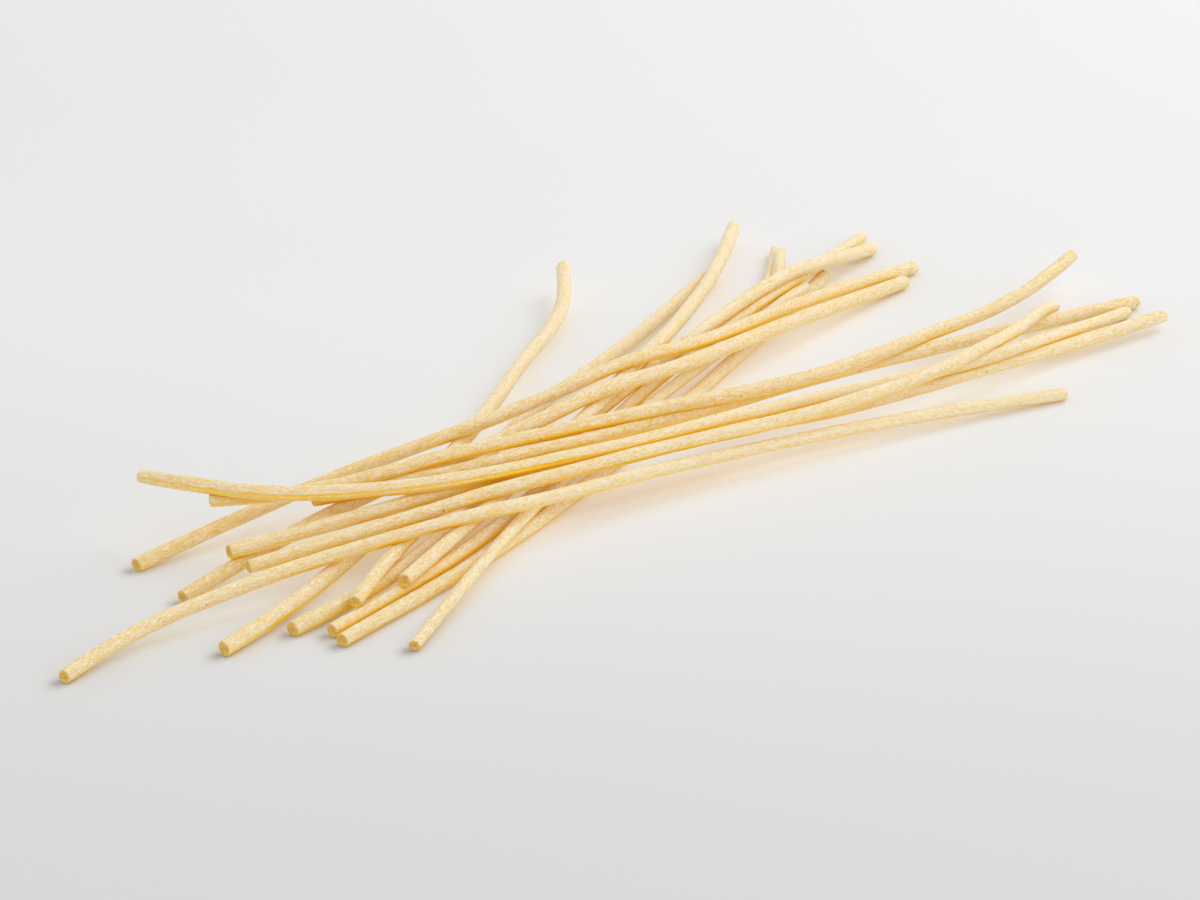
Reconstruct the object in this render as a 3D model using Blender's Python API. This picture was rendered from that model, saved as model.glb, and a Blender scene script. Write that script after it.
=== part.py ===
"""Loose bundle of seventeen strands of thick dry spaghetti, lying crossed on a flat surface.

Lengths in the tables are millimetres and are scaled to metres when the meshes are made.
+X is the bundle's right, -Y its front, +Z up. The origin is the middle of the footprint, on the floor.
The strands are listed from the bottom of the heap to the top, and each one rests on those before it.
"""
import math

import bpy
import numpy as np

MM = 0.001
NODE = "spaghetti"

SIDES = 8
STATIONS = 18
SAMPLES = 121
CONTACT_SINK = 0.24
TIP_CHAMFER = 0.22
TIP_SHRINK = 0.80
CURL_PART = 0.20
TIP_BEARS_NOTHING = 0.12
BEND_WINDOW = 0.07
BEND_REACH = 12.0
THINNEST = 0.93
FLAT_SPOT = 0.12
LONG_WAVE = 57.0
SHORT_WAVE = 20.0
PHASE_STEP = 1.7
SEAM_ANGLE = 50.0
PASTA_COLOUR = (0.86, 0.66, 0.31, 1.0)
PASTA_ROUGHNESS = 0.62

# Each strand: diameter, height its near end is held up to (0 lies free), upward bow of its middle,
# upward curl of its far tip, and the plan points of its centreline from the near end to the far one.
STRANDS = (
    (2.2, 0.0, 0.0, 0.0, ((-35.5, -62.5), (-13, -29), (7, 10), (22.5, 44), (37, 78))),
    (2.4, 0.0, 3.0, 3.0, ((-51.5, -65.5), (-43, -52.5), (-33.5, -33.5), (-21, -1), (-12, 36), (-6, 62),
                          (-6, 74))),
    (1.9, 2.0, 0.0, 0.0, ((23.5, 57), (27.4, 73), (29.2, 90))),
    (2.0, 2.4, 0.0, 0.0, ((28, 60), (28.9, 72), (30, 85.5))),
    (2.2, 0.0, 0.0, 0.0, ((-37, -59.5), (-17.5, -31), (-3, 0), (9.5, 28), (30, 65.5), (44, 96))),
    (1.9, 0.0, 0.0, 0.0, ((-25.5, -64), (-10, -22.5), (8, 18), (23, 47), (33.5, 68))),
    (2.3, 0.0, 0.0, 0.0, ((-42.5, -59), (-31.5, -46), (-20, -25.5), (1, 14), (22, 52), (34.5, 72),
                          (45.5, 90.5))),
    (2.1, 0.0, 0.0, 0.0, ((-34, -54.5), (-22.5, -19.5), (-11.5, 13.5), (4, 45.5), (17.5, 78))),
    (2.3, 3.4, 0.0, 1.5, ((-27.5, -48), (-11.5, -15), (4.5, 22), (17, 66.5), (22.5, 97))),
    (2.3, 0.0, 0.0, 0.0, ((-58.5, -48.5), (-37, -24), (-13, -3.5), (8.5, 19.5), (29, 47.5),
                          (50, 75))),
    (2.2, 0.0, 0.0, 0.0, ((-66, -37.5), (-41, -15), (-12.5, 6), (13, 30), (32, 57), (52, 82))),
    (2.2, 4.5, 0.0, 1.0, ((-52.5, -40.5), (-22.5, -23.5), (7, -5), (37, 13), (63.5, 35.5),
                          (90.5, 57.5))),
    (2.1, 0.0, 0.0, 0.0, ((-72.5, -74), (-63.5, -62), (-48, -49), (-17.5, -31), (11, -9.5),
                          (40.5, 10), (72, 27))),
    (2.3, 6.0, 0.0, 0.0, ((-41.5, -25.5), (-12.5, -13), (11.5, 5.5), (36.5, 27.5), (61.5, 47),
                          (87, 66))),
    (2.2, 7.0, 0.0, 4.0, ((-56, -28), (-40, -26), (-18, -12.5), (5.5, 1.5), (34, 21.5), (57, 48.5),
                          (69.5, 65), (77.5, 77))),
    (2.2, 8.0, 0.0, 0.0, ((-66.5, -21.5), (-50, -29.5), (-31.5, -27.5), (1.5, -10.5), (31.5, 11),
                          (61, 33), (85, 61.5))),
    (2.1, 4.0, 0.0, 0.0, ((-49.5, -44.5), (-19.5, -26.5), (7.5, -9), (36, 8.5), (55, 25.5),
                          (65.5, 42), (73.5, 63.5))),
)


def clear_file():
    """Remove every object, mesh and material that the file opened with."""
    for found in list(bpy.data.objects):
        bpy.data.objects.remove(found, do_unlink=True)
    for mesh in list(bpy.data.meshes):
        bpy.data.meshes.remove(mesh)
    for material in list(bpy.data.materials):
        bpy.data.materials.remove(material)


def plan_line(points, count):
    """Smooth plan curve through the points: cubic pieces whose slopes blend their two neighbours'."""
    p = np.array(points, float)
    chord = np.hypot(*np.diff(p, axis=0).T)
    knots = np.concatenate(([0.0], np.cumsum(chord)))
    step = np.diff(p, axis=0) / chord[:, None]
    slope = np.empty_like(p)
    slope[1:-1] = step[:-1] * chord[1:, None] + step[1:] * chord[:-1, None]
    slope[1:-1] /= (chord[:-1] + chord[1:])[:, None]
    slope[0] = 1.5 * step[0] - 0.5 * slope[1]
    slope[-1] = 1.5 * step[-1] - 0.5 * slope[-2]
    along = np.linspace(0.0, knots[-1], count)
    k = np.clip(np.searchsorted(knots, along, "right") - 1, 0, len(p) - 2)
    reach = chord[k][:, None]
    w = ((along - knots[k]) / chord[k])[:, None]
    start = (2 * w ** 3 - 3 * w ** 2 + 1) * p[k] + (w ** 3 - 2 * w ** 2 + w) * reach * slope[k]
    finish = (3 * w ** 2 - 2 * w ** 3) * p[k + 1] + (w ** 3 - w ** 2) * reach * slope[k + 1]
    return start + finish


def lengths_along(plan):
    """Distance of each plan sample from the strand's near end."""
    return np.concatenate(([0.0], np.cumsum(np.hypot(*np.diff(plan, axis=0).T))))


def arch_over(along, needed):
    """Lowest line that is nowhere hollow and stays on or above the needed heights."""
    kept = []
    for x, y in zip(along, needed):
        while len(kept) > 1:
            (x0, y0), (x1, y1) = kept[-2], kept[-1]
            if (y1 - y0) * (x - x0) > (y - y0) * (x1 - x0):
                break
            kept.pop()
        kept.append((x, y))
    xs, ys = zip(*kept)
    return np.interp(along, xs, ys)


def soften(heights):
    """Round the kinks of a height line off over a short stretch, with its ends left in place."""
    reach = int(len(heights) * BEND_WINDOW)
    weight = np.hanning(2 * reach + 3)[1:-1]
    before = 2 * heights[0] - heights[reach:0:-1]
    after = 2 * heights[-1] - heights[-2:-reach - 2:-1]
    padded = np.concatenate((before, heights, after))
    return np.convolve(padded, weight / weight.sum(), "valid")


def lift_clear(along, height, needed):
    """Raise a height line by smooth bumps wherever it still dips below the needed heights."""
    short = np.maximum(needed - height, 0.0)
    bell = np.exp(-((along[:, None] - along[None, :]) / BEND_REACH) ** 2)
    return height + (bell * short[None, :]).max(axis=1)


def height_over(plan, radius, lower):
    """Height that a strand's samples need to clear the floor and one lower strand, less the sink."""
    other, other_height, other_radius, bearing = lower
    reach = radius + other_radius - CONTACT_SINK
    gap = np.hypot(plan[:, None, 0] - other[None, :, 0], plan[:, None, 1] - other[None, :, 1])
    clear = other_height[None, :] + np.sqrt(np.maximum(reach ** 2 - gap ** 2, 0.0))
    clear[(gap >= reach) | ~bearing[None, :]] = radius
    return clear.max(axis=1)


def rest_strands():
    """Centreline and radius of every strand, laid from the bottom of the heap to the top."""
    laid = []
    lines = []
    middle = SAMPLES // 2
    share = np.linspace(0.0, 1.0, SAMPLES)
    tip = np.clip((share - 1.0 + CURL_PART) / CURL_PART, 0.0, 1.0)
    for diameter, held, bow, curl, points in STRANDS:
        radius = diameter / 2
        plan = plan_line(points, SAMPLES)
        needed = np.full(SAMPLES, radius)
        for lower in laid:
            needed = np.maximum(needed, height_over(plan, radius, lower))
        needed[0] = max(needed[0], held)
        needed[middle] = max(needed[middle], radius + bow)
        along = lengths_along(plan)
        height = lift_clear(along, soften(arch_over(along, needed)), needed)
        bearing = share < (1.0 - TIP_BEARS_NOTHING if curl else 2.0)
        laid.append((plan, height, radius, bearing))
        lines.append((np.column_stack((plan, height + curl * tip ** 2)), radius))
    return lines


def station_places(length):
    """Distances along a strand at which its rings stand, with a short chamfer at either tip."""
    inner = np.linspace(TIP_CHAMFER, length - TIP_CHAMFER, STATIONS)
    return np.concatenate(([0.0], inner, [length]))


def thickness(places, number):
    """Share of its full thickness that a strand has at each place: a long wave plus a short one."""
    turn = 2 * math.pi
    wave = np.sin(places * turn / LONG_WAVE + number * PHASE_STEP)
    wave += np.sin(places * turn / SHORT_WAVE + number)
    return 1.0 - (1.0 - THINNEST) * (2.0 + wave) / 4.0


def tube_mesh(line, radius, number):
    """Closed eight-sided tube about a centreline, a flat side down, slightly uneven in thickness."""
    step = np.linalg.norm(np.diff(line, axis=0), axis=1)
    along = np.concatenate(([0.0], np.cumsum(step)))
    places = station_places(along[-1])
    centre = np.column_stack([np.interp(places, along, line[:, axis]) for axis in range(3)])
    tangent = np.gradient(line, along, axis=0)
    facing = np.column_stack([np.interp(places, along, tangent[:, axis]) for axis in range(3)])
    facing /= np.linalg.norm(facing, axis=1)[:, None]
    side = np.cross(facing, (0.0, 0.0, 1.0))
    side /= np.linalg.norm(side, axis=1)[:, None]
    rise = np.cross(side, facing)
    width = radius / math.cos(math.pi / SIDES) * thickness(places, number)
    width[[0, -1]] *= TIP_SHRINK
    angle = (np.arange(SIDES) + 0.5) * 2 * math.pi / SIDES
    ring = np.cos(angle)[None, :, None] * side[:, None, :]
    ring = ring + np.sin(angle)[None, :, None] * rise[:, None, :]
    points = centre[:, None, :] + width[:, None, None] * ring
    return points.reshape(-1, 3) * MM, tube_faces(len(places))


def tube_faces(rings):
    """Side quads between neighbouring rings and one flat cap at either end, all facing out."""
    faces = []
    for i in range(rings - 1):
        for k in range(SIDES):
            n = (k + 1) % SIDES
            faces.append((i * SIDES + k, i * SIDES + n, (i + 1) * SIDES + n, (i + 1) * SIDES + k))
    faces.append(tuple(range(SIDES - 1, -1, -1)))
    last = (rings - 1) * SIDES
    faces.append(tuple(last + k for k in range(SIDES)))
    return faces


def add_strand(line, radius, number, home):
    """One strand as a closed mesh object in the given collection."""
    points, faces = tube_mesh(line, radius, number)
    mesh = bpy.data.meshes.new("strand_%02d" % number)
    mesh.from_pydata(points.tolist(), [], faces)
    mesh.update()
    strand = bpy.data.objects.new("strand_%02d" % number, mesh)
    home.objects.link(strand)
    return strand


def fuse(base, others):
    """Join the strands into one body by a single union, then take the loose strands away."""
    join = base.modifiers.new("join", "BOOLEAN")
    join.operation = "UNION"
    join.operand_type = "COLLECTION"
    join.collection = others
    join.solver = "EXACT"
    graph = bpy.context.evaluated_depsgraph_get()
    fused = bpy.data.meshes.new_from_object(base.evaluated_get(graph))
    base.modifiers.clear()
    base.data = fused
    for strand in list(others.objects):
        bpy.data.objects.remove(strand, do_unlink=True)
    bpy.data.collections.remove(others)


def centre_on_floor(heap):
    """Centre the footprint on the origin and press what touches the floor into flat spots at zero."""
    places = np.empty(len(heap.data.vertices) * 3)
    heap.data.vertices.foreach_get("co", places)
    places = places.reshape(-1, 3)
    low = places.min(axis=0)
    high = places.max(axis=0)
    bed = low[2] + FLAT_SPOT * MM
    places[:, 2] = np.maximum(places[:, 2], bed)
    places -= ((low[0] + high[0]) / 2, (low[1] + high[1]) / 2, bed)
    heap.data.vertices.foreach_set("co", places.ravel())
    heap.data.update()


def dry_pasta():
    """Matt cream yellow of dry durum wheat pasta."""
    material = bpy.data.materials.new("dry_pasta")
    material.use_nodes = True
    shader = material.node_tree.nodes["Principled BSDF"]
    shader.inputs["Base Color"].default_value = PASTA_COLOUR
    shader.inputs["Roughness"].default_value = PASTA_ROUGHNESS
    shader.inputs["Metallic"].default_value = 0.0
    return material


def shade_round(heap):
    """Smooth shading along the strands, with the cut ends and the seams kept crisp."""
    for face in heap.data.polygons:
        face.use_smooth = True
    heap.data.set_sharp_from_angle(angle=math.radians(SEAM_ANGLE))


def build():
    """Lay the strands, fuse them into the one body and give it its finish."""
    clear_file()
    others = bpy.data.collections.new("others")
    bpy.context.scene.collection.children.link(others)
    lines = rest_strands()
    heap = add_strand(*lines[0], 0, bpy.context.scene.collection)
    for number, (line, radius) in enumerate(lines[1:], start=1):
        add_strand(line, radius, number, others)
    fuse(heap, others)
    heap.name = NODE
    heap.data.name = NODE
    centre_on_floor(heap)
    shade_round(heap)
    heap.data.materials.append(dry_pasta())


build()
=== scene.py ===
"""Loose heap of seventeen strands of thick dry spaghetti on a pale surface.

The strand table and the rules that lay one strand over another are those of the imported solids. Here
every strand is a piece of its own, with its uneven skin, its lengthwise creases and its cut ends.
The table and the shape rules are in millimetres, and the meshes are made in metres.
"""

import math

import bpy
import numpy as np
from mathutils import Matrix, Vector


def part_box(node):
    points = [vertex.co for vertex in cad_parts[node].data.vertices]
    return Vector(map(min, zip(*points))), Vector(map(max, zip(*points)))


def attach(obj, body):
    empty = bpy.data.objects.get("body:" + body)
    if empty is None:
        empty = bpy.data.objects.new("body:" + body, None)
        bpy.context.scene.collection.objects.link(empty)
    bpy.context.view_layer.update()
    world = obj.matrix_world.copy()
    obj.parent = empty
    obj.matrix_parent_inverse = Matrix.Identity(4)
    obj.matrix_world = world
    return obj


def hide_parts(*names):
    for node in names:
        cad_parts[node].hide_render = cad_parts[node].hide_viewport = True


MM = 0.001
NODE = "spaghetti"

# Laying the strands, as in the solids.
SAMPLES = 361
CONTACT_SINK = 0.24
CURL_PART = 0.20
TIP_BEARS_NOTHING = 0.12
BEND_WINDOW = 0.07
BEND_REACH = 12.0
THINNEST = 0.93
LONG_WAVE = 57.0
SHORT_WAVE = 20.0
PHASE_STEP = 1.7

# Mesh of one strand: sides round it, the step between its rings, the rings of its cut ends, each given
# by its share of the radius and its distance back from the plane of the cut, and the first rings after
# those. Then the slant, chips and hollow of the cuts and how far back the slant reaches, and the share
# of its thickness by which an end tapers, and over what length.
SIDES = 56
RING_STEP = 0.42
CUT_SHARE = (0.12, 0.30, 0.48, 0.64, 0.77, 0.87, 0.94, 0.98)
CUT_BACK = (0.00, 0.00, 0.00, 0.00, 0.01, 0.03, 0.08, 0.15)
NEAR_CUT_STEPS = (0.25, 0.40, 0.65, 1.00)
CUT_SLANT = 0.10
CUT_CHIPS = 0.055
CUT_HOLLOW = 0.07
CUT_FADE = 1.2
END_TAPER = 0.08
END_TAPER_REACH = 1.2

# Skin relief, in millimetres, with the width of a crease in radians, how much painted shade its depth
# adds and the most it adds, the lengths over which it starts and ends, and the number of creases and dents.
LUMP_HEIGHT = 0.014
STREAK_HEIGHT = 0.008
GRIT_HEIGHT = 0.010
OVAL_HEIGHT = 0.035
CREASE_DEPTH = 0.05
CREASE_WIDTH = 0.16
CREASE_PAINTED_SHADE = 5.0
CREASE_PAINTED_DARKEST = 0.6
CREASE_START = 4.0
CREASE_END = 6.0
CREASE_WANDER = 0.10
CREASES = 2
DENT_DEPTH = 0.022
DENT_WIDTH = 0.20
DENTS_PER_MM = 0.9
SEED = 2024

# Creases that show in the photograph: strand, angle round it, distance from the near end at which the
# crease starts, its length, and its depth.
SHOWN_CREASES = ((15, 0.08, 0.0, 72.0, 0.20), (1, -0.35, 0.0, 55.0, 0.08), (8, -0.5, 4.0, 60.0, 0.08),
                 (12, 0.3, 30.0, 60.0, 0.06), (10, 0.75, 2.0, 60.0, 0.07), (13, -0.1, 10.0, 90.0, 0.08))

# Each strand: diameter, height its near end is held up to (0 lies free), upward bow of its middle,
# upward curl of its far tip, and the plan points of its centreline from the near end to the far one.
STRANDS = (
    (2.2, 0.0, 0.0, 0.0, ((-35.5, -62.5), (-13, -29), (7, 10), (22.5, 44), (37, 78))),
    (2.4, 0.0, 3.0, 3.0, ((-51.5, -65.5), (-43, -52.5), (-33.5, -33.5), (-21, -1), (-12, 36), (-6, 62),
                          (-6, 74))),
    (1.9, 2.0, 0.0, 0.0, ((23.5, 57), (27.4, 73), (29.2, 90))),
    (2.0, 2.4, 0.0, 0.0, ((28, 60), (28.9, 72), (30, 85.5))),
    (2.2, 0.0, 0.0, 0.0, ((-37, -59.5), (-17.5, -31), (-3, 0), (9.5, 28), (30, 65.5), (44, 96))),
    (1.9, 0.0, 0.0, 0.0, ((-25.5, -64), (-10, -22.5), (8, 18), (23, 47), (33.5, 68))),
    (2.3, 0.0, 0.0, 0.0, ((-42.5, -59), (-31.5, -46), (-20, -25.5), (1, 14), (22, 52), (34.5, 72),
                          (45.5, 90.5))),
    (2.1, 0.0, 0.0, 0.0, ((-34, -54.5), (-22.5, -19.5), (-11.5, 13.5), (4, 45.5), (17.5, 78))),
    (2.3, 3.4, 0.0, 1.5, ((-27.5, -48), (-11.5, -15), (4.5, 22), (17, 66.5), (22.5, 97))),
    (2.3, 0.0, 0.0, 0.0, ((-58.5, -48.5), (-37, -24), (-13, -3.5), (8.5, 19.5), (29, 47.5),
                          (50, 75))),
    (2.2, 0.0, 0.0, 0.0, ((-66, -37.5), (-41, -15), (-12.5, 6), (13, 30), (32, 57), (52, 82))),
    (2.2, 4.5, 0.0, 1.0, ((-52.5, -40.5), (-22.5, -23.5), (7, -5), (37, 13), (63.5, 35.5),
                          (90.5, 57.5))),
    (2.1, 0.0, 0.0, 0.0, ((-72.5, -74), (-63.5, -62), (-48, -49), (-17.5, -31), (11, -9.5),
                          (40.5, 10), (72, 27))),
    (2.3, 6.0, 0.0, 0.0, ((-41.5, -25.5), (-12.5, -13), (11.5, 5.5), (36.5, 27.5), (61.5, 47),
                          (87, 66))),
    (2.2, 7.0, 0.0, 4.0, ((-56, -28), (-40, -26), (-18, -12.5), (5.5, 1.5), (34, 21.5), (57, 48.5),
                          (69.5, 65), (77.5, 77))),
    (2.2, 8.0, 0.0, 0.0, ((-66.5, -21.5), (-50, -29.5), (-31.5, -27.5), (1.5, -10.5), (31.5, 11),
                          (61, 33), (85, 61.5))),
    (2.1, 4.0, 0.0, 0.0, ((-49.5, -44.5), (-19.5, -26.5), (7.5, -9), (36, 8.5), (55, 25.5),
                          (65.5, 42), (73.5, 63.5))),
)

# How golden each strand is, from 0 for the palest to 1, in the order of the table, and how much more
# golden its near end is, fading out over a share of its length.
GOLDEN = (0.4, 0.3, 0.4, 0.2, 0.2, 0.2, 0.4, 0.3, 0.3, 0.9, 0.95, 0.5, 0.3, 1.0, 0.95, 0.4, 0.45)
NEAR_GOLD = 0.70
NEAR_GOLD_PART = 0.6

# How enclosed the skin is, which sets where shade and glow are painted on it: distances of the probes
# set out along its normal, how much each counts, how near a probe must be to another strand to count, and
# the shares of the floor and of the underside's painted shade. A strand with no other near it has only the
# lone share of its underside, but for the lowest part, and crowded says how near others count. Then how
# much less skin that faces up, the cut ends and the far ends count as enclosed, and the rings and sides
# from one probe to the next.
PROBES = (0.3, 0.8, 1.6, 2.8)
PROBE_WEIGHTS = (0.34, 0.28, 0.22, 0.16)
PROBE_REACH = 0.9
FLOOR_SHARE = 0.45
UNDERSIDE_SHARE = 0.60
LONE_SHARE = 0.45
CROWDED = 0.3
UPWARD_OPEN = 0.6
CUT_OPEN = 0.7
FAR_OPEN = 0.45
PROBE_SKIP = 4

# Upward parts of the skin's normal at which each share starts, and over how much it grows to the full:
# the painted shade of the underside and of its lowest part, and the part that gets a painted glow for light
# that comes through, with how fast that painted glow goes where the skin is enclosed.
UNDERSIDE = (0.20, 0.9)
LOWEST = (-0.60, 0.3)
PAINTED_THROUGH_STRETCH = (-0.60, 0.35)
PAINTED_THROUGH_LOSS = 1.6

# Colours of the painted shade on the skin between strands and deepest between them, of the richer gold of
# the near ends, of the painted glow for the light that the strands pass on between them, and of the painted
# glow for the light that comes through a free strand to its underside, then of a brown speck.
PAINTED_SHADE_AMBER = (0.92, 0.60, 0.03, 1.0)
PAINTED_SHADE_UMBER = (0.86, 0.45, 0.012, 1.0)
RICH_GOLD = (0.76, 0.52, 0.11, 1.0)
PAINTED_GLOW = (0.068, 0.038, 0.0, 1.0)
PAINTED_THROUGH_GLOW = (0.27, 0.21, 0.14, 1.0)
SPECK = (0.22, 0.085, 0.02, 1.0)
BLACK = (0.0, 0.0, 0.0, 1.0)

# Finish of the skin and of the cut ends: palest and deepest gold, floury fleck, size and amount of the
# flecks, rarity of the specks, roughness, strength of the fine relief and share of light passed through.
SKIN = {"base": (0.93, 0.745, 0.37, 1.0), "deep": (0.87, 0.60, 0.15, 1.0), "pale": (0.935, 0.85, 0.725, 1.0),
        "fleck": 6.0, "flour": 0.9, "rarity": 0.97, "rough": 0.58, "bump": 1.0, "glow": 0.32}
CUT = {"base": (0.86, 0.54, 0.10, 1.0), "deep": (0.74, 0.41, 0.05, 1.0), "pale": (0.93, 0.71, 0.30, 1.0),
       "fleck": 2.6, "flour": 0.75, "rarity": 0.95, "rough": 0.62, "bump": 1.0, "glow": 0.25}

# Floor, in metres: half its width, half the width of its less coarse part, and half the width and the
# step of its fine middle. Then, in millimetres, the height of a strand from which the floor under it gets
# painted light, for light that comes through it, and the rise over which that grows.
FLOOR_REACH = 3.0
FLOOR_AROUND = 0.5
FLOOR_MIDDLE = 0.135
FLOOR_STEP = 0.0008
RAISED_FROM = 1.6
RAISED_OVER = 2.0

# Floor colours: its two clouded tones and the painted shade of its front, the painted light for light that
# comes to it through few strands and through many, and its painted amber light and shade under many.
FLOOR_TONES = ((0.765, 0.76, 0.75, 1.0), (0.80, 0.795, 0.785, 1.0))
FLOOR_FRONT_PAINTED_SHADE = (0.655, 0.65, 0.64, 1.0)
FLOOR_PAINTED_LIGHT = (0.29, 0.29, 0.285, 1.0)
FLOOR_PAINTED_DEEP_LIGHT = (0.10, 0.055, 0.01, 1.0)
FLOOR_PAINTED_AMBER = (0.74, 0.58, 0.38, 1.0)

# Small dark shadow beside each near end that lies on the floor: its middle from the end and its reach,
# in millimetres, its depth and its colour.
END_SHADE_SHIFT = (-0.9, 0.35)
END_SHADE_REACH = 1.15
END_SHADE_DEPTH = 0.65
END_SHADE = (0.28, 0.245, 0.215, 1.0)

# Lamps, each with its place and size in metres, its power and its colour, and the sky.
KEY = ((0.42, 0.47, 0.40), (0.32, 0.32), 1.2, (1.0, 0.975, 0.94))
FILL = ((0.50, -0.52, 0.52), (0.8, 0.8), 1.5, (1.0, 0.99, 0.97))
SKY = {"Color": (0.985, 0.99, 1.0, 1.0), "Strength": 0.89}

# The photograph's view: how far the camera looks down, its focal length in pixels of a frame of the given
# width, the sensor's width, the pixels that a millimetre of the heap takes, which set the distance, and
# the point that it looks at, in the strand table's own plan.
LOOK_DOWN = 23.0
FOCAL_PIXELS = 4759.0
FRAME_PIXELS = 1200.0
SENSOR_MM = 36.0
PIXELS_PER_MM = 6.7
AIM = (0.0, 0.0, 3.0)


def plan_line(points, count):
    """Smooth plan curve through the points: cubic pieces whose slopes blend their two neighbours'."""
    p = np.array(points, float)
    chord = np.hypot(*np.diff(p, axis=0).T)
    knots = np.concatenate(([0.0], np.cumsum(chord)))
    step = np.diff(p, axis=0) / chord[:, None]
    slope = np.empty_like(p)
    slope[1:-1] = step[:-1] * chord[1:, None] + step[1:] * chord[:-1, None]
    slope[1:-1] /= (chord[:-1] + chord[1:])[:, None]
    slope[0] = 1.5 * step[0] - 0.5 * slope[1]
    slope[-1] = 1.5 * step[-1] - 0.5 * slope[-2]
    along = np.linspace(0.0, knots[-1], count)
    k = np.clip(np.searchsorted(knots, along, "right") - 1, 0, len(p) - 2)
    reach = chord[k][:, None]
    w = ((along - knots[k]) / chord[k])[:, None]
    start = (2 * w ** 3 - 3 * w ** 2 + 1) * p[k] + (w ** 3 - 2 * w ** 2 + w) * reach * slope[k]
    finish = (3 * w ** 2 - 2 * w ** 3) * p[k + 1] + (w ** 3 - w ** 2) * reach * slope[k + 1]
    return start + finish


def lengths_along(line):
    """Distance of each sample of a line, in plan or in space, from its near end."""
    return np.concatenate(([0.0], np.cumsum(np.linalg.norm(np.diff(line, axis=0), axis=1))))


def arch_over(along, needed):
    """Lowest line that is nowhere hollow and stays on or above the needed heights."""
    kept = []
    for x, y in zip(along, needed):
        while len(kept) > 1:
            (x0, y0), (x1, y1) = kept[-2], kept[-1]
            if (y1 - y0) * (x - x0) > (y - y0) * (x1 - x0):
                break
            kept.pop()
        kept.append((x, y))
    xs, ys = zip(*kept)
    return np.interp(along, xs, ys)


def soften(heights):
    """Round the kinks of a height line off over a short stretch, with its ends left in place."""
    reach = int(len(heights) * BEND_WINDOW)
    weight = np.hanning(2 * reach + 3)[1:-1]
    before = 2 * heights[0] - heights[reach:0:-1]
    after = 2 * heights[-1] - heights[-2:-reach - 2:-1]
    padded = np.concatenate((before, heights, after))
    return np.convolve(padded, weight / weight.sum(), "valid")


def lift_clear(along, height, needed):
    """Raise a height line by smooth bumps wherever it still dips below the needed heights."""
    short = np.maximum(needed - height, 0.0)
    bell = np.exp(-((along[:, None] - along[None, :]) / BEND_REACH) ** 2)
    return height + (bell * short[None, :]).max(axis=1)


def height_over(plan, radius, lower):
    """Height that a strand's samples need to clear the floor and one lower strand, less the sink."""
    other, other_height, other_radius, bearing = lower
    reach = radius + other_radius - CONTACT_SINK
    gap = np.hypot(plan[:, None, 0] - other[None, :, 0], plan[:, None, 1] - other[None, :, 1])
    clear = other_height[None, :] + np.sqrt(np.maximum(reach ** 2 - gap ** 2, 0.0))
    clear[(gap >= reach) | ~bearing[None, :]] = radius
    return clear.max(axis=1)


def rest_strands():
    """Centreline and radius of every strand, laid from the bottom of the heap to the top."""
    laid = []
    lines = []
    middle = SAMPLES // 2
    share = np.linspace(0.0, 1.0, SAMPLES)
    tip = np.clip((share - 1.0 + CURL_PART) / CURL_PART, 0.0, 1.0)
    for diameter, held, bow, curl, points in STRANDS:
        radius = diameter / 2
        plan = plan_line(points, SAMPLES)
        needed = np.full(SAMPLES, radius)
        for lower in laid:
            needed = np.maximum(needed, height_over(plan, radius, lower))
        needed[0] = max(needed[0], held)
        needed[middle] = max(needed[middle], radius + bow)
        along = lengths_along(plan)
        height = lift_clear(along, soften(arch_over(along, needed)), needed)
        bearing = share < (1.0 - TIP_BEARS_NOTHING if curl else 2.0)
        laid.append((plan, height, radius, bearing))
        lines.append((np.column_stack((plan, height + curl * tip ** 2)), radius))
    return lines


def onto_frame(lines):
    """Slide the table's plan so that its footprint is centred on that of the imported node."""
    low = np.min([line.min(axis=0) - radius for line, radius in lines], axis=0)
    high = np.max([line.max(axis=0) + radius for line, radius in lines], axis=0)
    node_low, node_high = (np.array(corner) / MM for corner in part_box(NODE))
    shift = (node_low + node_high) / 2 - (low + high) / 2
    shift[2] = 0.0
    return [(line + shift, radius) for line, radius in lines], shift


def frames_at(line, places):
    """Centre, direction, sideways and upward unit vectors of a line at the given distances along it."""
    along = lengths_along(line)
    tangent = np.gradient(line, along, axis=0)
    centre = np.column_stack([np.interp(places, along, line[:, axis]) for axis in range(3)])
    facing = np.column_stack([np.interp(places, along, tangent[:, axis]) for axis in range(3)])
    facing /= np.linalg.norm(facing, axis=1)[:, None]
    side = np.cross(facing, (0.0, 0.0, 1.0))
    side /= np.linalg.norm(side, axis=1)[:, None]
    return centre, facing, side, np.cross(side, facing)


def ring_places(length):
    """Distance along the strand, share of the radius and cut mask of every ring, cut to cut."""
    near = np.array(NEAR_CUT_STEPS)
    count = int((length - 2 * near[-1]) / RING_STEP)
    body = np.linspace(near[-1], length - near[-1], count)[1:-1]
    body = np.concatenate((near, body, length - near[::-1]))
    back = np.array(CUT_BACK)
    share = np.array(CUT_SHARE)
    places = np.concatenate((back, body, length - back[::-1]))
    shares = np.concatenate((share, np.ones(len(body)), share[::-1]))
    on_cut = np.concatenate((np.ones(len(share)), np.zeros(len(body)), np.ones(len(share))))
    return places, shares, on_cut


def thickness(places, number):
    """Share of its full thickness that a strand has at each place: a long wave plus a short one."""
    turn = 2 * math.pi
    wave = np.sin(places * turn / LONG_WAVE + number * PHASE_STEP)
    wave += np.sin(places * turn / SHORT_WAVE + number)
    return 1.0 - (1.0 - THINNEST) * (2.0 + wave) / 4.0


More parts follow.
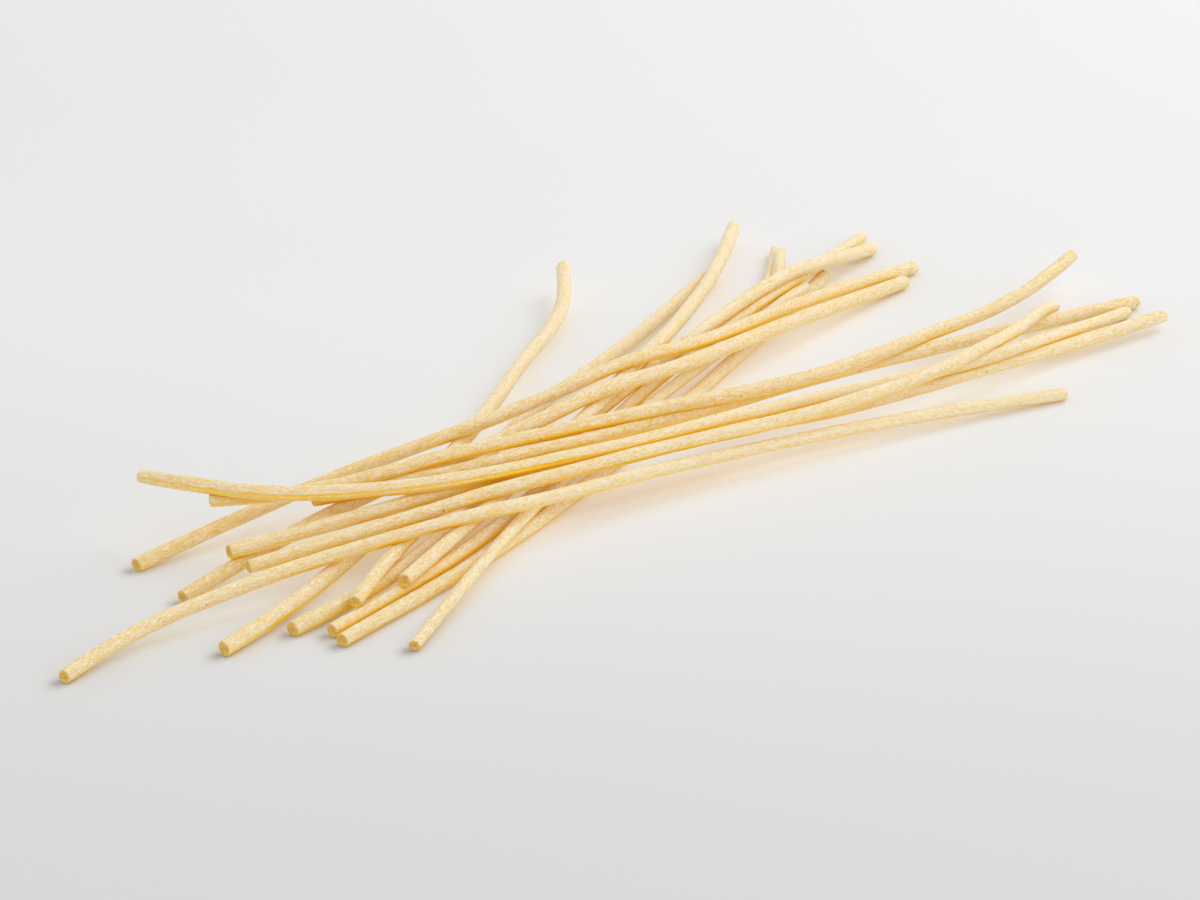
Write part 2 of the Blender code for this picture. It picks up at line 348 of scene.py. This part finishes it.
def travelling_waves(places, angle, rng, turns, lengths, count):
    """Sum of count cosine waves that run round and along the strand, scaled to a spread of one.

    Each wave is cos(n angle + 2 pi place / wavelength + phase), with n drawn from turns and the
    wavelength from the range lengths.
    """
    n = rng.integers(turns[0], turns[1] + 1, count)
    wavelength = rng.uniform(*lengths, count) * rng.choice((-1.0, 1.0), count)
    phase = rng.uniform(0.0, 2 * math.pi, count)
    total = np.zeros((len(places), len(angle)))
    for k in range(count):
        run = 2 * math.pi * places[:, None] / wavelength[k] + phase[k]
        total += np.cos(n[k] * angle[None, :] + run)
    return total / math.sqrt(count / 2)


def creases(places, angle, length, number, rng):
    """Narrow lengthwise grooves: a bell across the angle, faded in and out along a stretch."""
    total = np.zeros((len(places), len(angle)))
    found = [crease[1:] for crease in SHOWN_CREASES if crease[0] == number]
    for _ in range(CREASES):
        found.append((rng.uniform(0.0, 6.3), rng.uniform(-0.1, 0.8) * length,
                      rng.uniform(0.15, 0.5) * length, CREASE_DEPTH * rng.uniform(0.3, 1.0)))
    for turn, start, run, depth in found:
        wave = 2 * math.pi * places / rng.uniform(30.0, 80.0)
        wander = CREASE_WANDER * np.sin(wave + rng.uniform(0.0, 6.3))
        across = np.angle(np.exp(1j * (angle[None, :] - turn - wander[:, None])))
        along = np.clip((places - start) / CREASE_START, 0.0, 1.0)
        along = along * np.clip((start + run - places) / CREASE_END, 0.0, 1.0)
        ragged = 0.75 + 0.15 * np.sin(places * 2.9 + rng.uniform(0.0, 6.3))
        ragged += 0.10 * np.sin(places * 0.83 + rng.uniform(0.0, 6.3))
        total += (depth * along * ragged)[:, None] * np.exp(-(across / CREASE_WIDTH) ** 2)
    return total


def dents(places, angle, radius, length, rng):
    """Small shallow pits and blisters scattered over the skin, each a bell in both directions."""
    total = np.zeros((len(places), len(angle)))
    for _ in range(int(length * DENTS_PER_MM)):
        at = rng.uniform(1.0, length - 1.0)
        turn = rng.uniform(0.0, 2 * math.pi)
        size = DENT_WIDTH * rng.uniform(0.5, 1.5)
        stretch = rng.uniform(1.0, 3.5)
        rows = np.nonzero(np.abs(places - at) < 3 * size * stretch)[0]
        across = np.angle(np.exp(1j * (angle[None, :] - turn))) * radius / size
        run = (places[rows, None] - at) / (size * stretch)
        total[rows] += rng.choice((-0.6, 1.0)) * rng.uniform(0.2, 1.0) * np.exp(-across ** 2 - run ** 2)
    return total


def skin_relief(places, angle, radius, length, rng):
    """Height of the skin over a plain tube with creases: oval, lumps, streaks and grit, less dents."""
    oval = np.cos(2 * angle[None, :] + places[:, None] / 40.0 + rng.uniform(0.0, 6.3))
    relief = OVAL_HEIGHT * oval
    relief = relief + LUMP_HEIGHT * travelling_waves(places, angle, rng, (0, 3), (6.0, 40.0), 14)
    relief += STREAK_HEIGHT * travelling_waves(places, angle, rng, (7, 19), (12.0, 90.0), 16)
    relief += GRIT_HEIGHT * rng.normal(0.0, 1.0, relief.shape)
    relief -= DENT_DEPTH * dents(places, angle, radius, length, rng)
    return relief


def cut_relief(shares, on_cut, angle, places, length, rng):
    """How far each point of a cut end stands out along the strand: a slant, a hollow and chips."""
    slant = rng.uniform(-1.0, 1.0, (2, 2)) * CUT_SLANT
    out = np.zeros((len(places), len(angle)))
    for end, here in enumerate((places < length / 2, places >= length / 2)):
        wave = slant[end, 0] * np.cos(angle) + slant[end, 1] * np.sin(angle)
        chips = travelling_waves(shares * 3.0, angle, rng, (2, 9), (0.6, 2.4), 12)
        rough = CUT_CHIPS * chips * (shares[:, None] * 1.4 * (1.02 - shares[:, None]) * 2.6)
        fade = np.clip(CUT_FADE - (length - places if end else places), 0.0, 1.0)
        hollow = -CUT_HOLLOW * (1.0 - shares ** 2) * on_cut
        piece = wave[None, :] * shares[:, None] * fade[:, None] + (rough + hollow[:, None]) * on_cut[:, None]
        out += np.where(here[:, None], piece, 0.0)
    return out


def strand_surface(lines, number):
    """Grid of points, rings by sides: centreline plus ring radius times the turning unit vector.

    The ring radius is the strand's uneven thickness, less the taper of its ends, plus the skin relief
    and less the creases, times the ring's share on the cut ends, where the points also move along the
    strand by the cut's own relief.
    """
    line, radius = lines[number]
    rng = np.random.default_rng(SEED + number)
    length = lengths_along(line)[-1]
    places, shares, on_cut = ring_places(length)
    angle = np.arange(SIDES) * 2 * math.pi / SIDES
    centre, facing, side, rise = frames_at(line, places)
    taper = END_TAPER * np.exp(-np.minimum(places, length - places) / END_TAPER_REACH)
    width = radius * (thickness(places, number) - taper)[:, None]
    groove = creases(places, angle, length, number, rng)
    width = (width + skin_relief(places, angle, radius, length, rng) - groove) * shares[:, None]
    way = np.where(places < length / 2, -1.0, 1.0)
    out = cut_relief(shares, on_cut, angle, places, length, rng) * way[:, None]
    ring = np.cos(angle)[None, :, None] * side[:, None, :]
    ring = ring + np.sin(angle)[None, :, None] * rise[:, None, :]
    points = centre[:, None, :] + width[:, :, None] * ring + out[:, :, None] * facing[:, None, :]
    points[..., 2] = np.maximum(points[..., 2], 0.0)
    grain = np.empty_like(points)
    grain[..., 0] = np.cos(angle)[None, :] * radius * shares[:, None]
    grain[..., 1] = np.sin(angle)[None, :] * radius * shares[:, None]
    grain[..., 2] = (places + 211.0 * number)[:, None]
    # Masks of the painted shade and painted glow: the far ends and the cut ends get less painted shade, the
    # creases more, and the cut ends no glow.
    painted_shade, through = painted_shade_and_glow(lines, number, places, angle)
    painted_shade = painted_shade * (1.0 - FAR_OPEN * np.clip(2.0 * places / length - 1.0, 0.0, 1.0))[:, None]
    painted_shade = painted_shade + np.clip(CREASE_PAINTED_SHADE * groove, 0.0, CREASE_PAINTED_DARKEST)
    painted_shade *= 1.0 - CUT_OPEN * on_cut[:, None]
    through = through * (1.0 - on_cut[:, None])
    return points, grain, (painted_shade, through), on_cut


def painted_shade_and_glow(lines, number, places, angle):
    """How enclosed the skin is at every ring and side, which sets its painted shade, and how much painted
    glow it gets there for light that comes through.

    Probes stand along the normal of a coarse grid of skin points. Each counts the more the nearer it
    is to another strand or to the floor. The underside adds its own share of painted shade, less where no
    other strand is near, and the painted glow for light that comes through goes on the open parts of the
    underside.
    """
    line, radius = lines[number]
    coarse = places[::PROBE_SKIP]
    turn = angle[::PROBE_SKIP]
    centre, _, side, rise = frames_at(line, coarse)
    normal = np.cos(turn)[None, :, None] * side[:, None, :]
    normal = normal + np.sin(turn)[None, :, None] * rise[:, None, :]
    total = np.zeros(normal.shape[:2])
    crowd = np.zeros(normal.shape[:2])
    for probe, weight in zip(PROBES, PROBE_WEIGHTS):
        point = (centre[:, None, :] + (radius + probe) * normal).reshape(-1, 3)
        floor = np.clip(1.0 - point[:, 2] / PROBE_REACH, 0.0, 1.0) * FLOOR_SHARE
        near = np.zeros(len(point))
        for other, (other_line, other_radius) in enumerate(lines):
            if other != number:
                samples = other_line[::PROBE_SKIP // 2]
                gap = (point ** 2).sum(axis=1)[:, None] + (samples ** 2).sum(axis=1)[None, :]
                gap = np.sqrt(np.maximum((gap - 2.0 * point @ samples.T).min(axis=1), 0.0)) - other_radius
                near = np.maximum(near, np.clip(1.0 - gap / PROBE_REACH, 0.0, 1.0))
        total += weight * np.maximum(near, floor).reshape(total.shape)
        crowd += weight * near.reshape(total.shape)
    upward = normal[..., 2]
    through = below(upward, PAINTED_THROUGH_STRETCH) * np.clip(1.0 - PAINTED_THROUGH_LOSS * total, 0.0, 1.0)
    total *= np.clip(1.0 - UPWARD_OPEN * upward, 1.0 - UPWARD_OPEN, 1.0)
    lone = (1.0 - LONE_SHARE) * (1.0 - np.clip(crowd.max(axis=1) / CROWDED, 0.0, 1.0))[:, None]
    total += UNDERSIDE_SHARE * (1.0 - lone) * below(upward, UNDERSIDE)
    total += UNDERSIDE_SHARE * lone * below(upward, LOWEST)
    return drawn_out(places, coarse, angle, total), drawn_out(places, coarse, angle, through)


def below(upward, stretch):
    """How far an upward part of a normal is past the start of a stretch, as a share of the stretch."""
    start, over = stretch
    return np.clip((start - upward) / over, 0.0, 1.0)


def drawn_out(places, coarse, angle, values):
    """Values of the coarse grid drawn out to every ring first and to every side second."""
    sides = values.shape[1]
    along = np.column_stack([np.interp(places, coarse, values[:, k]) for k in range(sides)])
    round_it = np.arange(len(angle)) / PROBE_SKIP
    first = round_it.astype(int)
    part = round_it - first
    return along[:, first] * (1.0 - part) + along[:, (first + 1) % sides] * part


def grid_faces(rings):
    """Quads between neighbouring rings, and a fan from a pole to the first ring and to the last."""
    i = np.arange(rings - 1)[:, None] * SIDES
    k = np.arange(SIDES)[None, :]
    n = (k + 1) % SIDES
    quads = np.stack((i + k, i + n, i + SIDES + n, i + SIDES + k), axis=-1).reshape(-1, 4)
    poles = rings * SIDES
    last = (rings - 1) * SIDES
    k = k[0]
    n = n[0]
    near = np.stack((n, k, np.full(SIDES, poles)), axis=-1)
    far = np.stack((last + k, last + n, np.full(SIDES, poles + 1)), axis=-1)
    return quads, np.concatenate((near, far))


def add_strand(lines, number, skin, cut):
    """One strand as a closed smooth mesh, with its grain attribute and its skin and cut finishes."""
    points, grain, light, on_cut = strand_surface(lines, number)
    quads, fans = grid_faces(len(points))
    ends = (0, len(points) - 1)
    flat = np.concatenate((points.reshape(-1, 3), [points[e].mean(axis=0) for e in ends]))
    flat_grain = np.concatenate((grain.reshape(-1, 3), [grain[e].mean(axis=0) for e in ends]))
    name = "strand_%02d" % (number + 1)
    mesh = bpy.data.meshes.new(name)
    mesh.from_pydata((flat * MM).tolist(), [], quads.tolist() + fans.tolist())
    mesh.polygons.foreach_set("use_smooth", np.ones(len(mesh.polygons), bool))
    ring = np.repeat(np.arange(len(points) - 1), SIDES)
    ends_cut = (on_cut[ring] > 0) & (on_cut[ring + 1] > 0)
    finish = np.concatenate((ends_cut, np.ones(2 * SIDES))).astype(np.int32)
    mesh.polygons.foreach_set("material_index", finish)
    mesh.attributes.new("grain", "FLOAT_VECTOR", "POINT").data.foreach_set("vector", flat_grain.ravel())
    near = 1.0 - np.linspace(0.0, 1.0, len(points)) / NEAR_GOLD_PART
    tones = GOLDEN[number] + NEAR_GOLD * np.maximum(near, 0.0)
    tones = np.concatenate((np.repeat(tones, SIDES), tones[[0, -1]]))
    mesh.attributes.new("tone", "FLOAT", "POINT").data.foreach_set("value", tones)
    # Attributes that carry where shade and glow are painted.
    for label, grid in zip(("painted_shade", "through"), light):
        value = np.concatenate((grid.ravel(), [grid[e].mean() for e in ends]))
        mesh.attributes.new(label, "FLOAT", "POINT").data.foreach_set("value", value)
    mesh.materials.append(skin)
    mesh.materials.append(cut)
    mesh.update()
    strand = bpy.data.objects.new(name, mesh)
    bpy.context.scene.collection.objects.link(strand)
    return strand


def new_group(name, inputs, outputs):
    """Empty shader node group with the named inputs (type and value) and outputs (type)."""
    group = bpy.data.node_groups.new(name, "ShaderNodeTree")
    for label, kind, value in inputs:
        socket = group.interface.new_socket(label, in_out="INPUT", socket_type="NodeSocket" + kind)
        if value is not None:
            socket.default_value = value
    for label, kind in outputs:
        group.interface.new_socket(label, in_out="OUTPUT", socket_type="NodeSocket" + kind)
    return group, group.nodes.new("NodeGroupInput"), group.nodes.new("NodeGroupOutput")


def set_inputs(node, values):
    """Set a node's input values by name or index."""
    for key, value in values.items():
        node.inputs[key].default_value = value
    return node


def stretched_noise(tree, vector, stretch, scale, detail=2.0, roughness=0.5):
    """Noise read from the grain, with its spots stretched along the strand."""
    mapping = tree.nodes.new("ShaderNodeMapping")
    mapping.inputs["Scale"].default_value = (scale, scale, scale / stretch)
    tree.links.new(vector, mapping.inputs["Vector"])
    noise = tree.nodes.new("ShaderNodeTexNoise")
    set_inputs(noise, {"Scale": 1.0, "Detail": detail, "Roughness": roughness})
    tree.links.new(mapping.outputs[0], noise.inputs["Vector"])
    return noise.outputs["Fac"]


def ramp(tree, value, low, high):
    """Value stretched so that low gives 0 and high gives 1, smoothly and clamped."""
    node = tree.nodes.new("ShaderNodeMapRange")
    node.interpolation_type = "SMOOTHSTEP"
    set_inputs(node, {"From Min": low, "From Max": high})
    tree.links.new(value, node.inputs["Value"])
    return node.outputs["Result"]


def math_node(tree, operation, *values):
    """Maths node over sockets or plain numbers."""
    node = tree.nodes.new("ShaderNodeMath")
    node.operation = operation
    for socket, value in zip(node.inputs, values):
        if hasattr(value, "node"):
            tree.links.new(value, socket)
        else:
            socket.default_value = value
    return node.outputs[0]


def blend(tree, factor, first, second):
    """Colour mix from first to second by the factor."""
    node = tree.nodes.new("ShaderNodeMix")
    node.data_type = "RGBA"
    for value, socket in ((factor, node.inputs[0]), (first, node.inputs[6]), (second, node.inputs[7])):
        if hasattr(value, "node"):
            tree.links.new(value, socket)
        else:
            socket.default_value = value
    return node.outputs[2]


def flour_group():
    """Pale floury flecks: a mask of short spots drawn out along the strand, and broad pale cloudiness."""
    group, given, result = new_group(
        "floury flecks",
        (("Grain", "Vector", None), ("Fleck Size", "Float", 2.6), ("Amount", "Float", 1.0)),
        (("Flecks", "Float"), ("Clouds", "Float")))
    scaled = group.nodes.new("ShaderNodeVectorMath")
    scaled.operation = "SCALE"
    group.links.new(given.outputs["Grain"], scaled.inputs[0])
    group.links.new(given.outputs["Fleck Size"], scaled.inputs["Scale"])
    fine = ramp(group, stretched_noise(group, scaled.outputs[0], 5.0, 1.0, 4.0, 0.75), 0.40, 0.60)
    broad = ramp(group, stretched_noise(group, scaled.outputs[0], 3.5, 0.20, 3.0, 0.6), 0.36, 0.64)
    group.links.new(math_node(group, "MULTIPLY", fine, given.outputs["Amount"]), result.inputs["Flecks"])
    group.links.new(broad, result.inputs["Clouds"])
    return group


def streak_group():
    """Fine lines that run along the strand, as the die leaves them."""
    group, given, result = new_group(
        "drawn streaks", (("Grain", "Vector", None), ("Fineness", "Float", 1.0)), (("Streaks", "Float"),))
    scaled = group.nodes.new("ShaderNodeVectorMath")
    scaled.operation = "SCALE"
    group.links.new(given.outputs["Grain"], scaled.inputs[0])
    group.links.new(given.outputs["Fineness"], scaled.inputs["Scale"])
    drawn = stretched_noise(group, scaled.outputs[0], 26.0, 5.5, 3.0, 0.65)
    group.links.new(ramp(group, drawn, 0.40, 0.64), result.inputs["Streaks"])
    return group


def speck_group():
    """Rare small brown bran specks, from the cells of a Voronoi pattern thinned by each cell's random
    colour.
    """
    group, given, result = new_group(
        "bran specks", (("Grain", "Vector", None), ("Rarity", "Float", 0.62)), (("Specks", "Float"),))
    cells = group.nodes.new("ShaderNodeTexVoronoi")
    set_inputs(cells, {"Scale": 0.9, "Randomness": 1.0})
    group.links.new(given.outputs["Grain"], cells.inputs["Vector"])
    split = group.nodes.new("ShaderNodeSeparateColor")
    group.links.new(cells.outputs["Color"], split.inputs[0])
    chosen = math_node(group, "GREATER_THAN", split.outputs[0], given.outputs["Rarity"])
    size = math_node(group, "MULTIPLY", split.outputs[1], 0.16)
    near = math_node(group, "SUBTRACT", size, cells.outputs["Distance"])
    spot = ramp(group, near, 0.0, 0.05)
    group.links.new(math_node(group, "MULTIPLY", chosen, spot), result.inputs["Specks"])
    return group


def place_group(tree, group, grain, values):
    """Group node fed with the grain attribute and set to the material's own values."""
    node = tree.nodes.new("ShaderNodeGroup")
    node.node_tree = group
    tree.links.new(grain, node.inputs["Grain"])
    return set_inputs(node, values)


def attribute(tree, name, output):
    """One output of a reader of the piece's own attribute."""
    node = tree.nodes.new("ShaderNodeAttribute")
    node.attribute_name = name
    return node.outputs[output]


def bump(tree, height, strength, distance):
    """Bump from a height mask, over a distance in millimetres."""
    node = tree.nodes.new("ShaderNodeBump")
    set_inputs(node, {"Strength": strength, "Distance": distance * MM})
    tree.links.new(height, node.inputs["Height"])
    return node.outputs["Normal"]


def pasta(name, groups, finish):
    """Pasta finish: base to deep gold by the clouds, floury flecks, faint streaks, brown specks, painted
    shade in amber and umber where the skin is enclosed, and a painted glow there and on the lit-through
    underside.
    """
    material = bpy.data.materials.new(name)
    material.use_nodes = True
    tree = material.node_tree
    shader = tree.nodes["Principled BSDF"]
    grain = attribute(tree, "grain", "Vector")
    amounts = {"Fleck Size": finish["fleck"], "Amount": finish["flour"]}
    flour = place_group(tree, groups[0], grain, amounts)
    streaks = place_group(tree, groups[1], grain, {"Fineness": 1.0}).outputs[0]
    specks = place_group(tree, groups[2], grain, {"Rarity": finish["rarity"]}).outputs[0]
    tone = math_node(tree, "MULTIPLY_ADD", flour.outputs["Clouds"], -0.9, attribute(tree, "tone", "Fac"))
    colour = blend(tree, ramp(tree, tone, -0.55, 0.65), finish["base"], finish["deep"])
    colour = blend(tree, math_node(tree, "MULTIPLY", streaks, 0.6), colour, finish["deep"])
    colour = blend(tree, flour.outputs["Flecks"], colour, finish["pale"])
    rich = math_node(tree, "MULTIPLY", ramp(tree, tone, 0.5, 1.5), 0.4)
    colour = blend(tree, rich, colour, RICH_GOLD)
    # Painted shade: amber, then umber, where the skin is enclosed by other strands, by the floor and by its
    # own underside, and in creases.
    painted_shade = attribute(tree, "painted_shade", "Fac")
    colour = blend(tree, ramp(tree, painted_shade, 0.05, 0.85), colour, PAINTED_SHADE_AMBER)
    colour = blend(tree, ramp(tree, painted_shade, 0.75, 1.15), colour, PAINTED_SHADE_UMBER)
    colour = blend(tree, math_node(tree, "MULTIPLY", specks, 0.8), colour, SPECK)
    # Painted glow, as an emission: where the skin is enclosed, and on the underside for light that comes
    # through.
    light = blend(tree, ramp(tree, painted_shade, 0.05, 0.60), BLACK, PAINTED_GLOW)
    light = blend(tree, attribute(tree, "through", "Fac"), light, PAINTED_THROUGH_GLOW)
    tree.links.new(light, shader.inputs["Emission Color"])
    shader.inputs["Emission Strength"].default_value = 1.0
    tree.links.new(colour, shader.inputs["Base Color"])
    rough = math_node(tree, "MULTIPLY_ADD", flour.outputs["Flecks"], 0.22, finish["rough"])
    tree.links.new(rough, shader.inputs["Roughness"])
    grit = stretched_noise(tree, grain, 1.6, 9.0, 3.0, 0.7)
    height = math_node(tree, "MULTIPLY_ADD", streaks, -0.35, grit)
    height = math_node(tree, "MULTIPLY_ADD", flour.outputs["Flecks"], 0.5, height)
    tree.links.new(bump(tree, height, finish["bump"], 0.05), shader.inputs["Normal"])
    set_inputs(shader, {"Subsurface Weight": finish["glow"], "Subsurface Scale": 1.0 * MM,
                        "Subsurface Radius": (1.5, 1.0, 0.35), "Specular IOR Level": 0.36})
    return material


def tabletop():
    """Pale smooth surface, faintly clouded, with painted shade darker to the front, painted warm light under
    raised strands and a small painted shadow beside each near end that lies on it.
    """
    material = bpy.data.materials.new("pale_surface")
    material.use_nodes = True
    tree = material.node_tree
    shader = tree.nodes["Principled BSDF"]
    where = tree.nodes.new("ShaderNodeTexCoord")
    noise = tree.nodes.new("ShaderNodeTexNoise")
    set_inputs(noise, {"Scale": 9.0, "Detail": 4.0})
    tree.links.new(where.outputs["Object"], noise.inputs["Vector"])
    split = tree.nodes.new("ShaderNodeSeparateXYZ")
    tree.links.new(where.outputs["Object"], split.inputs[0])
    colour = blend(tree, noise.outputs["Fac"], *FLOOR_TONES)
    # Painted shade: the floor's colour grows darker towards the front.
    front = ramp(tree, math_node(tree, "MULTIPLY", split.outputs[1], -1.0), -0.07, 0.18)
    colour = blend(tree, front, colour, FLOOR_FRONT_PAINTED_SHADE)
    # Painted amber light and shade under many raised strands, in the floor's colour.
    covered = attribute(tree, "covered", "Fac")
    deep = ramp(tree, covered, 0.50, 1.0)
    colour = blend(tree, deep, colour, FLOOR_PAINTED_AMBER)
    shade = math_node(tree, "MULTIPLY", attribute(tree, "beside_end", "Fac"), END_SHADE_DEPTH)
    tree.links.new(blend(tree, shade, colour, END_SHADE), shader.inputs["Base Color"])
    # Painted light under raised strands, as an emission, dimmer and warmer under many.
    light = blend(tree, covered, BLACK, blend(tree, deep, FLOOR_PAINTED_LIGHT, FLOOR_PAINTED_DEEP_LIGHT))
    tree.links.new(light, shader.inputs["Emission Color"])
    shader.inputs["Emission Strength"].default_value = 1.0
    set_inputs(shader, {"Roughness": 0.75, "Specular IOR Level": 0.2})
    return material


def covered_by(points, lines):
    """Share of the sky that raised strands hide from each floor point, which sets the floor's painted light:
    1 less exp of minus the sum of radius times height over the squared distance to each strand's nearest
    sample.
    """
    total = np.zeros(len(points))
    for line, radius in lines:
        samples = line[::2 * PROBE_SKIP]
        gap = ((points[:, None, :] - samples[None, :, :2]) ** 2).sum(axis=2) + samples[None, :, 2] ** 2
        nearest = gap.argmin(axis=1)
        height = samples[nearest, 2]
        raised = np.clip((height - RAISED_FROM) / RAISED_OVER, 0.0, 1.0)
        total += raised * radius * height / gap[np.arange(len(points)), nearest]
    return 1.0 - np.exp(-total)


def beside_ends(points, lines):
    """Shadow beside the near ends that lie on the floor: exp of minus the squared share that the gap
    from a floor point to the middle of the nearest such shadow has of the shadow's reach.
    """
    ends = np.array([line[0, :2] for line, _ in lines if line[0, 2] < RAISED_FROM]) + END_SHADE_SHIFT
    gap = ((points[:, None, :] - ends[None, :, :]) ** 2).sum(axis=2).min(axis=1)
    return np.exp(-gap / END_SHADE_REACH ** 2)


def add_floor(lines):
    """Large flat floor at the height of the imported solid's base, with a fine middle under the heap."""
    middle = np.arange(-FLOOR_MIDDLE, FLOOR_MIDDLE, FLOOR_STEP)
    across = np.concatenate(([-FLOOR_REACH, -FLOOR_AROUND], middle, [FLOOR_AROUND, FLOOR_REACH]))
    x, y = (grid.ravel() for grid in np.meshgrid(across, across))
    count = len(across)
    corner = (np.arange(count - 1)[:, None] * count + np.arange(count - 1)[None, :]).ravel()
    faces = np.stack((corner, corner + 1, corner + count + 1, corner + count), axis=-1)
    mesh = bpy.data.meshes.new("floor")
    mesh.from_pydata(np.column_stack((x, y, np.zeros(len(x)))).tolist(), [], faces.tolist())
    # Masks of the painted light under raised strands and of the painted shadow beside the near ends.
    covered = covered_by(np.column_stack((x, y)) / MM, lines)
    mesh.attributes.new("covered", "FLOAT", "POINT").data.foreach_set("value", covered)
    beside = beside_ends(np.column_stack((x, y)) / MM, lines)
    mesh.attributes.new("beside_end", "FLOAT", "POINT").data.foreach_set("value", beside)
    mesh.materials.append(tabletop())
    floor = bpy.data.objects.new("floor", mesh)
    bpy.context.scene.collection.objects.link(floor)


def pointing(place):
    """Turn that makes a lamp at place look at the origin."""
    x, y, z = place
    return (math.atan2(math.hypot(x, y), z), 0.0, math.atan2(x, -y))


def add_lamp(name, place, size, power, colour):
    """Soft square lamp that looks at the middle of the heap's base."""
    data = bpy.data.lights.new(name, "AREA")
    data.shape = "RECTANGLE"
    data.size, data.size_y = size
    data.energy = power
    data.color = colour
    lamp = bpy.data.objects.new(name, data)
    lamp.location = place
    lamp.rotation_euler = pointing(place)
    bpy.context.scene.collection.objects.link(lamp)


def light_scene():
    """Soft key from behind and to the right, and a broad fill from the front right, under a pale sky."""
    add_lamp("key", *KEY)
    add_lamp("fill", *FILL)
    world = bpy.data.worlds.new("soft_sky")
    world.use_nodes = True
    set_inputs(world.node_tree.nodes["Background"], SKY)
    bpy.context.scene.world = world
    bpy.context.scene.view_settings.view_transform = "Standard"


def add_camera(shift):
    """Camera at the photograph's angle, far off and with a long lens."""
    down = math.radians(LOOK_DOWN)
    distance = FOCAL_PIXELS / PIXELS_PER_MM
    aim = np.array(AIM) + shift
    place = aim + distance * np.array((0.0, -math.cos(down), math.sin(down)))
    data = bpy.data.cameras.new("camera")
    data.sensor_width = SENSOR_MM
    data.lens = FOCAL_PIXELS / FRAME_PIXELS * SENSOR_MM
    data.clip_start = 0.01
    camera = bpy.data.objects.new("camera", data)
    camera.location = place * MM
    camera.rotation_euler = (math.pi / 2 - down, 0.0, 0.0)
    bpy.context.scene.collection.objects.link(camera)
    bpy.context.scene.camera = camera


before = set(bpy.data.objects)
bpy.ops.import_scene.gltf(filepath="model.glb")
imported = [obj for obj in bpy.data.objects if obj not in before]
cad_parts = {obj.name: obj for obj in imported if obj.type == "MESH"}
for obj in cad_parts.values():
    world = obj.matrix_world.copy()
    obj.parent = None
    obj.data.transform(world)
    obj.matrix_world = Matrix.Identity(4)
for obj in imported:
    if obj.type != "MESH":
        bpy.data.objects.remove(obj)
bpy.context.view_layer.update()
lines, shift = onto_frame(rest_strands())
groups = (flour_group(), streak_group(), speck_group())
skin = pasta("pasta_skin", groups, SKIN)
cut = pasta("pasta_cut", groups, CUT)
for number in range(len(lines)):
    strand = add_strand(lines, number, skin, cut)
    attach(strand, "root")
    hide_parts(NODE)
add_floor(lines)
light_scene()
add_camera(shift)
